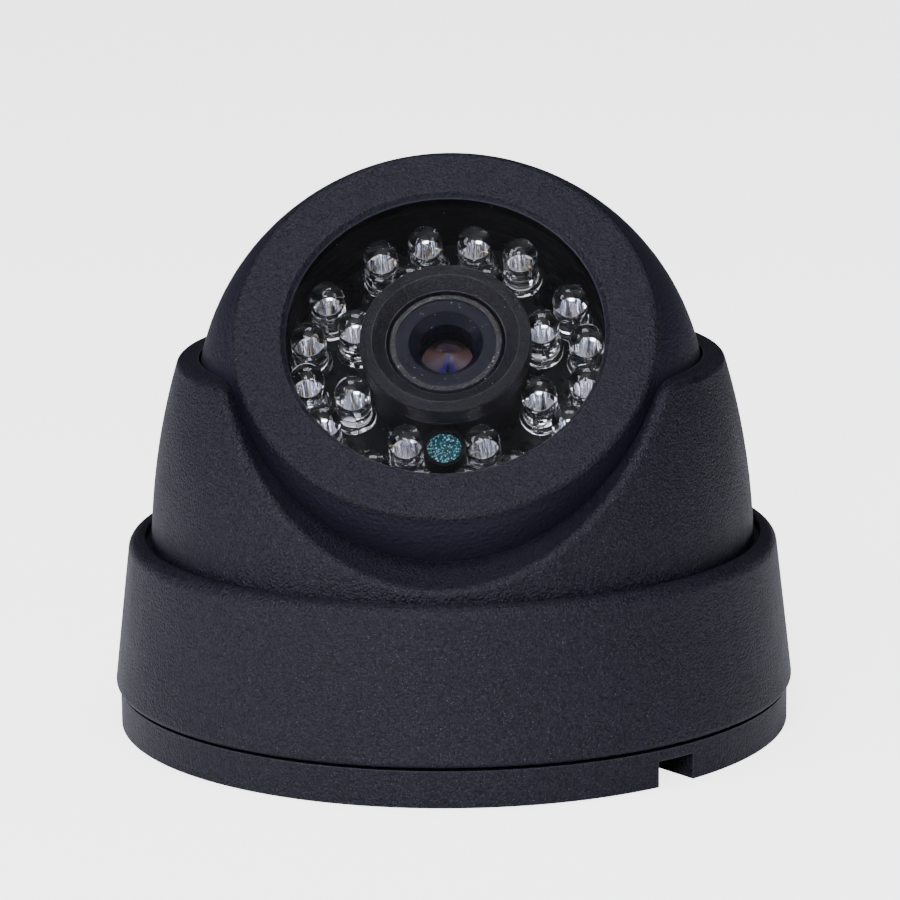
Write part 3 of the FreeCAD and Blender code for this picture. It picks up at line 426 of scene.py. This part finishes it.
def mattFinish(name, dark, light, roughLow, roughHigh, scale, depth, dustShare=0.0):
    # Plain mould, rubber, chip or wire jacket: mottled shade, fine grain and a little dust
    material, tree, shader, where = startMaterial(name)
    tone = useGroup(tree, mottleGroup, Vector=where, Scale=scale / 8, Low=0.0, High=1.0)
    base = blendColour(tree, tone["Value"], dark, light)
    dust = useGroup(tree, dustGroup, Vector=where, Scale=scale, Share=dustShare, Size=0.2)
    dusty = blendColour(tree, dust["Mask"], base, (0.45, 0.48, 0.55))
    tree.links.new(dusty, shader.inputs["Base Color"])
    gloss = useGroup(tree, mottleGroup, Vector=where, Scale=scale / 5, Low=roughLow, High=roughHigh)
    tree.links.new(gloss["Value"], shader.inputs["Roughness"])
    grain = useGroup(tree, grainGroup, Vector=where, Scale=scale, Speck_Share=0.1)
    bump(tree, shader, grain["Height"], depth)
    return material


def boardFinish():
    # Black solder mask with faint raised tracks under it and small tinned pads
    material, tree, shader, where = startMaterial("board")
    local = put(tree, "ShaderNodeMapping", {"Vector": where, "Scale": (650.0, 650.0, 650.0)})
    tracks = put(tree, "ShaderNodeTexVoronoi", {"Vector": local.outputs[0], "Scale": 1.0},
                 distance="MANHATTAN", feature="F1")
    line = remap(tree, tracks.outputs["Distance"], 0.42, 0.5)
    pads = useGroup(tree, dustGroup, Vector=where, Scale=420.0, Share=0.06, Size=0.2)
    mask = blendColour(tree, line, (0.0012, 0.0014, 0.0014), (0.003, 0.004, 0.004))
    printed = blendColour(tree, pads["Mask"], mask, (0.45, 0.45, 0.43))
    tree.links.new(printed, shader.inputs["Base Color"])
    tree.links.new(pads["Mask"], shader.inputs["Metallic"])
    shader.inputs["Specular IOR Level"].default_value = 0.12
    gloss = useGroup(tree, mottleGroup, Vector=where, Scale=300.0, Low=0.12, High=0.22)
    tree.links.new(gloss["Value"], shader.inputs["Roughness"])
    bump(tree, shader, calculate(tree, "ADD", line, pads["Mask"]), 0.00003)
    return material


def glitterFinish():
    # Daylight cell: teal flakes, each tilted and coloured by its own random value
    material, tree, shader, where = startMaterial("cellFace")
    flakes = put(tree, "ShaderNodeTexVoronoi", {"Vector": where, "Scale": 9500.0})
    pick = put(tree, "ShaderNodeSeparateColor", {"Color": flakes.outputs["Color"]})
    teal = blendColour(tree, pick.outputs["Red"], (0.0, 0.003, 0.005), (0.0, 0.055, 0.072))
    sparkle = remap(tree, pick.outputs["Green"], 0.84, 0.88)
    pitted = remap(tree, pick.outputs["Blue"], 0.62, 0.66)
    lit = blendColour(tree, sparkle, teal, (0.45, 0.90, 0.95))
    tree.links.new(blendColour(tree, pitted, lit, (0.001, 0.008, 0.01)), shader.inputs["Base Color"])
    tree.links.new(calculate(tree, "MULTIPLY", sparkle, 0.5), shader.inputs["Metallic"])
    shader.inputs["Specular IOR Level"].default_value = 0.2
    rough = remap(tree, pick.outputs["Red"], 0.0, 1.0, 0.25, 0.5)
    tree.links.new(rough, shader.inputs["Roughness"])
    bump(tree, shader, pick.outputs["Green"], 0.00006)
    return material


def lensBlackFinish():
    # Anodised black lens ring: matt rim, smoother dark navy cone, dust on both
    material, tree, shader, where = startMaterial("lensBlack")
    middle = eyeballHeight(tree, where)
    top = float(eyeballPoints("lens_barrel")[:, 2].max())
    rim = remap(tree, middle, top - 0.12, top - 0.04)
    grain = useGroup(tree, grainGroup, Vector=where, Scale=4200.0, Speck_Share=0.7)
    dust = useGroup(tree, dustGroup, Vector=where, Scale=1900.0, Share=0.40, Size=0.16)
    base = blendColour(tree, rim, (0.0008, 0.0012, 0.0040), (0.0065, 0.0062, 0.0062))
    shader.inputs["Specular IOR Level"].default_value = 0.14
    specks = calculate(tree, "MULTIPLY", grain["Specks"], rim)
    base = blendColour(tree, calculate(tree, "MULTIPLY", specks, 0.9), base, (0.20, 0.20, 0.19))
    tree.links.new(blendColour(tree, dust["Mask"], base, (0.35, 0.42, 0.5)), shader.inputs["Base Color"])
    gloss = useGroup(tree, mottleGroup, Vector=where, Scale=200.0, Low=0.26, High=0.34)
    tree.links.new(gloss["Value"], shader.inputs["Roughness"])
    bump(tree, shader, calculate(tree, "MULTIPLY", grain["Height"], rim), 0.00004)
    return material


def coatedGlass(name, tint, ior):
    # Lens glass with a tinted anti-reflection coat; its low index keeps the reflections weak
    material, tree, shader, where = startMaterial(name)
    shader.inputs["Transmission Weight"].default_value = 1.0
    shader.inputs["IOR"].default_value = ior
    shader.inputs["Specular Tint"].default_value = (*tint, 1.0)
    dust = useGroup(tree, dustGroup, Vector=where, Scale=1100.0, Share=0.02, Size=0.10)
    tree.links.new(blendColour(tree, dust["Mask"], (0.85, 0.80, 0.86), (0.6, 0.6, 0.6)),
                   shader.inputs["Base Color"])
    tree.links.new(calculate(tree, "MULTIPLY", dust["Mask"], 0.5), shader.inputs["Roughness"])
    passShadows(tree, shader)
    return material


finishes = {
    "base_plastic": mouldedPlastic("basePlastic", baseLook),
    "ball_plastic": ballPlastic(),
    "inner_plastic": mouldedPlastic("innerPlastic", innerLook),
    "hood_plastic": mouldedPlastic("hoodPlastic", hoodLook),
    "window_clear": clearFinish("windowClear", (0.96, 0.96, 0.96), 1.25, 0.0, 0.03),
    "epoxy_clear": clearFinish("epoxyClear", (0.99, 0.99, 0.99), 1.53, 0.0),
    "rubber": mattFinish("rubber", (0.006, 0.006, 0.006), (0.012, 0.012, 0.012), 0.6, 0.8, 1800.0,
                         0.00003),
    "steel": metalFinish("steel", (0.52, 0.52, 0.54), (0.36, 0.36, 0.38), 0.22, 0.36, 900.0),
    "black_steel": metalFinish("blackSteel", (0.004, 0.004, 0.005), (0.002, 0.002, 0.002), 0.5, 0.6,
                               900.0),
    "brass": metalFinish("brass", (0.72, 0.55, 0.25), (0.56, 0.41, 0.18), 0.24, 0.38, 900.0),
    "lead_metal": metalFinish("silverLead", (0.97, 0.98, 1.0), (0.88, 0.91, 1.0), 0.05, 0.12, 1400.0),
    "board": boardFinish(),
    "sensor_face": glitterFinish(),
    "lens_black": lensBlackFinish(),
    "lens_glass": coatedGlass("lensGlass", (0.80, 0.62, 1.0), 1.12),
    "filter_glass": coatedGlass("filterGlass", (1.0, 0.35, 0.35), 1.5),
    "chip": mattFinish("chip", (0.010, 0.010, 0.011), (0.018, 0.018, 0.020), 0.35, 0.5, 2600.0,
                       0.00002, 0.02),
    "connector": mattFinish("connector", (0.62, 0.60, 0.54), (0.72, 0.70, 0.64), 0.35, 0.5, 1500.0,
                            0.00001),
    "wire": mattFinish("wire", (0.30, 0.012, 0.010), (0.40, 0.020, 0.016), 0.35, 0.48, 1500.0, 0.00001),
}
nodeFinish = {"lens_hood": "hood_plastic", "light_sensor_sleeve": "inner_plastic",
              "led_board_screws": "black_steel", "board_screws": "black_steel"}


def dressNodes():
    # Every CAD node takes the finish of its own slot
    slots = {part["node"]: part["material_slot"] for part in frame["record"]["subparts"]}
    for name, node in frame["nodes"].items():
        finish = finishes[nodeFinish.get(name, slots[name])]
        node.data.materials.clear()
        node.data.materials.append(finish)
    print("dressed", len(slots), "nodes")


ledLook = {"radius": 2.4, "flange": 0.5, "flangeThick": 1.0, "flat": 0.2,
           "dishDeep": 0.25, "dishEdge": 0.12, "dishShare": 0.7, "footRound": 0.15,
           "flangeRound": 0.18, "neckRound": 0.2, "waist": 0.02,
           "outerAngles": (10, 30, 60, 80, 100, 120, 150, 170),
           "innerAngles": (22.5, 67.5, 112.5, 157.5), "cupBelowDome": 2.7, "lean": 1.6, "steps": 40,
           "flute": 0.12, "flutes": 6}

# In millimetres from the cup's foot; the cup is (radius, height) from its foot up, over and down inside
frameLook = {"cup": ((0, 0), (0.6, 0), (0.7, 0.1), (0.96, 1.3), (0.98, 1.38), (0.93, 1.42), (0.86, 1.38),
                     (0.52, 0.55), (0.46, 0.42), (0, 0.4)),
             "cupSteps": 72, "innerAbove": 0.41, "innerWithin": 0.87, "lead": 0.5, "leadFoot": 0.5,
             "anvilX": 0.1, "anvilWide": 1.3, "anvilHeights": (-0.9, -0.7, 0.05), "anvilSpread": 0.9,
             "anvilTop": -0.2, "legX": 1.0, "legTop": -0.5, "postX": -1.27, "postTopX": -1.2,
             "postHeights": (0.9, 1.1)}
chipLook = {"low": 0.38, "high": 0.56, "side": 0.34}
wireLook = {"reach": 0.6, "arch": 0.9, "rise": 0.5, "radius": 0.02, "sides": 6, "points": 12}


def lightPlaces(node, angles):
    # Both sides of the upright line, on the ring that the node's own outermost points give
    points = eyeballPoints(node)
    ring = np.hypot(points[:, 0], points[:, 1]).max() - ledLook["radius"] - ledLook["flange"]
    turn = np.radians(np.concatenate((angles, -np.array(angles))))
    places = np.stack((ring * np.sin(turn), ring * np.cos(turn), 0 * turn), axis=-1)
    facing = np.arctan2(places[:, 1], places[:, 0]) + math.pi / 2
    return places, facing


def lightBody(node):
    # Flange, straight side and half-sphere top; the flange is cut flat where x passes the flat
    look = ledLook
    points = eyeballPoints(node)
    base, top = points[:, 2].min(), points[:, 2].max()
    radius = look["radius"]
    flange = radius + look["flange"]
    thick = base + look["flangeThick"]
    dome = top - radius
    footRound, flangeRound, neckRound = look["footRound"], look["flangeRound"], look["neckRound"]
    profile = np.concatenate((
        ((0, base + look["dishDeep"]), (radius * look["dishShare"], base + look["dishEdge"]),
         (radius, base)),
        arc(flange - footRound, base + footRound, footRound, -90, 0, 4),
        arc(flange - flangeRound, thick - flangeRound, flangeRound, 0, 90, 4),
        arc(radius + neckRound, thick + neckRound, neckRound, -90, -180, 4),
        ((radius - look["waist"], (thick + dome) / 2),),
        arc(0, dome, radius, 0, 90, 14)))
    profile[-1, 0] = 0
    points, faces = lathe(profile, look["steps"])
    inFlange = points[:, 2] < thick + 0.01
    points[inFlange, 0] = np.minimum(points[inFlange, 0], radius + look["flat"])
    return points, faces


def cupFoot(node):
    return eyeballPoints(node)[:, 2].max() - ledLook["radius"] - ledLook["cupBelowDome"]


def lightFrame(node):
    # Reflector cup, fluted inside by r * (1 + flute * cos(flutes * turn)), its lead and the bond post
    look = frameLook
    low = cupFoot(node)
    foot = eyeballPoints(node)[:, 2].min() - look["leadFoot"]
    lead = look["lead"]
    cup = lathe([(radius, low + height) for radius, height in look["cup"]], look["cupSteps"])
    points = cup[0]
    turn = np.arctan2(points[:, 1], points[:, 0])
    inside = (points[:, 2] > low + look["innerAbove"]) & (np.hypot(points[:, 0], points[:, 1])
                                                          < look["innerWithin"])
    points[:, :2] *= 1 + (inside * ledLook["flute"] * np.cos(ledLook["flutes"] * turn))[:, None]
    anvil = bar([(look["anvilX"], 0, low + height) for height in look["anvilHeights"]],
                look["anvilWide"], lead)
    anvil[0][:, 0] += look["anvilSpread"] * np.clip(low + look["anvilTop"] - anvil[0][:, 2], 0, 1)
    leg = bar(((look["legX"], 0, foot), (look["legX"], 0, low + look["legTop"])), lead, lead)
    elbow, tip = look["postHeights"]
    postLeg = bar(((look["postX"], 0, foot), (look["postX"], 0, low + elbow),
                   (look["postTopX"], 0, low + tip)), lead, lead)
    return gathered(cup, anvil, leg, postLeg)


def emitterChip(node):
    # Small dark block at the bottom of the cup
    low, side = cupFoot(node), chipLook["side"]
    return bar(((0, 0, low + chipLook["low"]), (0, 0, low + chipLook["high"])), side, side)


def bondWire(node):
    # Arch from the block to the post: x = reach (cos t - 1), z = block top + arch sin t + rise t / pi
    look = wireLook
    turn = np.linspace(0, math.pi, look["points"])
    blockTop = cupFoot(node) + chipLook["high"]
    level = blockTop + look["arch"] * np.sin(turn) + look["rise"] * (turn / math.pi)
    path = np.stack((-look["reach"] + look["reach"] * np.cos(turn), 0 * turn, level), axis=-1)
    return wire(path, look["radius"], look["sides"])


def addLights():
    for name, node, angles in (("outer", "led_lenses_outer", ledLook["outerAngles"]),
                               ("inner", "led_lenses_inner", ledLook["innerAngles"])):
        places, facing = lightPlaces(node, angles)
        standing = (places, facing, ledLook["lean"], eyeballPoints(node)[:, 2].min())
        addPiece("lights_" + name, copied(lightBody(node), *standing), finishes["epoxy_clear"],
                 "eyeball", (node,), 50)
        frames = (("led_leadframes",) if name == "outer" else ())
        addPiece("light_frames_" + name, copied(lightFrame(node), *standing),
                 finishes["lead_metal"], "eyeball", frames)
        addPiece("light_emitters_" + name, copied(emitterChip(node), *standing), emitterFinish,
                 "eyeball")
        addPiece("light_bond_wires_" + name, copied(bondWire(node), *standing), finishes["brass"],
                 "eyeball")
    print("lights made")


emitterFinish = mattFinish("emitter", (0.02, 0.05, 0.16), (0.05, 0.10, 0.30), 0.15, 0.25, 6000.0,
                           0.000005)

sleeveLook = {"pitch": 2.4, "depth": 0.12, "levels": 110, "steps": 128}


def addSleeve():
    # Ring whose bore has shallow grooves: r = bore + depth * |sin(pi z / pitch)|, from bottom to top
    points = eyeballPoints("window_spacer")
    outer = np.hypot(points[:, 0], points[:, 1]).max()
    bore = np.hypot(points[:, 0], points[:, 1]).min()
    low, high = points[:, 2].min(), points[:, 2].max()
    levels = np.linspace(high, low, sleeveLook["levels"])
    groove = sleeveLook["depth"] * np.abs(np.sin(math.pi * (levels - low) / sleeveLook["pitch"]))
    inside = np.stack((bore + groove, levels), axis=-1)
    profile = np.concatenate((((outer, low), (outer, high)), inside, ((outer, low),)))
    addPiece("window_sleeve", lathe(profile, sleeveLook["steps"]), finishes["inner_plastic"], "eyeball",
             ("window_spacer",), 60)
    print("sleeve made")


bowlLook = {"radius": 3.2, "depth": 1.5, "behindGlass": 2.2, "back": 0.4, "edge": 0.2, "rings": 12,
            "steps": 64}
# Painted reflections on the inner lens element: colours by angle from straight down, 0, to straight up, 1, about a
# point this far up the face
reflectionFanRise = 0.0020
paintedReflectionWedges = ((0.035, (0.001, 0.001, 0.002)), (0.060, (0.008, 0.002, 0.090)),
              (0.120, (0.012, 0.006, 0.070)), (0.150, (0.035, 0.032, 0.040)),
              (0.300, (0.060, 0.052, 0.056)), (0.340, (0.058, 0.038, 0.032)),
              (0.480, (0.036, 0.020, 0.016)), (0.560, (0.004, 0.002, 0.002)),
              (0.990, (0.003, 0.001, 0.001)))


def addLensInside():
    # Hollow bowl behind the front glass: z = floor + depth * (r / R)^2, closed behind by a flat
    look = bowlLook
    radius, back, edge = look["radius"], look["back"], look["edge"]
    floor = eyeballPoints("lens_front_element")[:, 2].min() - look["behindGlass"]
    share = np.linspace(0, 1, look["rings"])
    bowl = np.stack((radius * share, floor + look["depth"] * share ** 2), axis=-1)
    profile = np.concatenate((((0, floor - back), (radius + edge, floor - back),
                               (radius + edge, floor + look["depth"])), bowl[::-1]))
    material, tree, shader, where = startMaterial("innerElementPaintedReflection")
    fanCentre = tuple(ballCentre + reflectionFanRise * upright)
    middle = put(tree, "ShaderNodeVectorMath", {0: where, 1: fanCentre}, operation="SUBTRACT")
    side = put(tree, "ShaderNodeSeparateXYZ", {"Vector": middle.outputs[0]}).outputs["X"]
    down = put(tree, "ShaderNodeVectorMath", {0: middle.outputs[0], 1: tuple(-upright)},
               operation="DOT_PRODUCT").outputs["Value"]
    turn = calculate(tree, "ABSOLUTE", calculate(tree, "ARCTAN2", side, down))
    # Painted reflection: the base colour is a fan of coloured wedges by angle round the fan's centre, standing in
    # for the studio reflected in the coated glass
    wedges = put(tree, "ShaderNodeValToRGB", {"Fac": calculate(tree, "DIVIDE", turn, math.pi)})
    ramp = wedges.color_ramp
    for place, colour in paintedReflectionWedges:
        stop = ramp.elements.new(place)
        stop.color = (*colour, 1.0)
    ramp.elements.remove(ramp.elements[0])
    ramp.elements.remove(ramp.elements[len(ramp.elements) - 1])
    tree.links.new(wedges.outputs["Color"], shader.inputs["Base Color"])
    shader.inputs["Specular IOR Level"].default_value = 0.1
    rough = useGroup(tree, mottleGroup, Vector=where, Scale=700.0, Low=0.30, High=0.40)
    tree.links.new(rough["Value"], shader.inputs["Roughness"])
    addPiece("lens_inner_element", lathe(profile, look["steps"]), material, "lens")
    print("lens inside made")


camView = {"distance": 0.6000, "height": 0.17004, "pitch": 12.478, "yaw": 2.88, "roll": -0.56,
           "lens": 178.66, "shift": -0.0019}


def addCamera():
    data = bpy.data.cameras.new("camera")
    data.lens = camView["lens"]
    data.sensor_width = 36
    data.shift_x = camView["shift"]
    cam = bpy.data.objects.new("camera", data)
    bpy.context.scene.collection.objects.link(cam)
    yaw = math.radians(camView["yaw"])
    reach = camView["distance"]
    place = Vector((reach * math.sin(yaw), -reach * math.cos(yaw), camView["height"]))
    turn = Matrix.Rotation(yaw, 4, "Z") @ Matrix.Rotation(math.radians(90 - camView["pitch"]), 4, "X")
    turn = turn @ Matrix.Rotation(math.radians(camView["roll"]), 4, "Z")
    cam.matrix_world = Matrix.Translation(place) @ turn
    bpy.context.scene.camera = cam


lamps = {"leftBox": {"place": (-0.54, -0.26, 0.24), "size": (0.22, 0.5), "power": 2.7},
         "rightBox": {"place": (0.54, -0.28, 0.24), "size": (0.20, 0.5), "power": 1.1},
         "topBox": {"place": (0.0, 0.0, 0.75), "size": (0.5, 0.35), "power": 3.6},
         "frontBox": {"place": (-0.10, -0.66, 0.42), "size": (0.30, 0.16), "power": 5.5}}


def addLamps():
    target = Vector(studio["aim"])
    for name, lamp in lamps.items():
        data = bpy.data.lights.new(name, "AREA")
        data.shape = "RECTANGLE"
        data.size, data.size_y = lamp["size"]
        data.energy = lamp["power"]
        data.color = studio["lampColour"]
        obj = bpy.data.objects.new(name, data)
        bpy.context.scene.collection.objects.link(obj)
        obj.location = lamp["place"]
        obj.rotation_euler = (target - Vector(lamp["place"])).to_track_quat("-Z", "Y").to_euler()


studio = {"lampColour": (0.90, 0.89, 1.0), "worldColour": (0.92, 0.915, 1.0, 1.0), "floorGlow": 3.0,
          "aim": (0, 0, 0.04), "front": 0.80, "back": 0.045, "backdrop": 14.0}


def addWorld():
    # The backdrop is bright to the camera only, so that it doesn't wash out the black plastic
    world = bpy.data.worlds.new("studio")
    bpy.context.scene.world = world
    world.use_nodes = True
    tree = world.node_tree
    back = tree.nodes["Background"]
    back.inputs["Color"].default_value = studio["worldColour"]
    path = put(tree, "ShaderNodeLightPath")
    way = put(tree, "ShaderNodeTexCoord").outputs["Generated"]
    toBack = put(tree, "ShaderNodeSeparateXYZ", {"Vector": way}).outputs["Y"]
    light = remap(tree, toBack, -0.8, -0.1, studio["front"], studio["back"])
    level = put(tree, "ShaderNodeMix", {0: path.outputs["Is Camera Ray"], 2: light,
                                        3: studio["backdrop"]})
    tree.links.new(level.outputs[0], back.inputs["Strength"])


def addFloor():
    mesh = bpy.data.meshes.new("floor")
    mesh.from_pydata([(-3, -3, 0), (3, -3, 0), (3, 3, 0), (-3, 3, 0)], [], [(0, 1, 2, 3)])
    floor = bpy.data.objects.new("floor", mesh)
    bpy.context.scene.collection.objects.link(floor)
    material, tree, shader = startMaterial("paleFloor")[:3]
    shader.inputs["Base Color"].default_value = (0.92, 0.92, 0.93, 1.0)
    shader.inputs["Roughness"].default_value = 0.6
    shader.inputs["Emission Color"].default_value = (1.0, 1.0, 1.0, 1.0)
    path = put(tree, "ShaderNodeLightPath")
    glow = calculate(tree, "MULTIPLY", path.outputs["Is Camera Ray"], studio["floorGlow"])
    tree.links.new(glow, shader.inputs["Emission Strength"])
    mesh.materials.append(material)


addCamera()
addLamps()
addWorld()
addFloor()
dressNodes()
addLights()
addSleeve()
addLensInside()
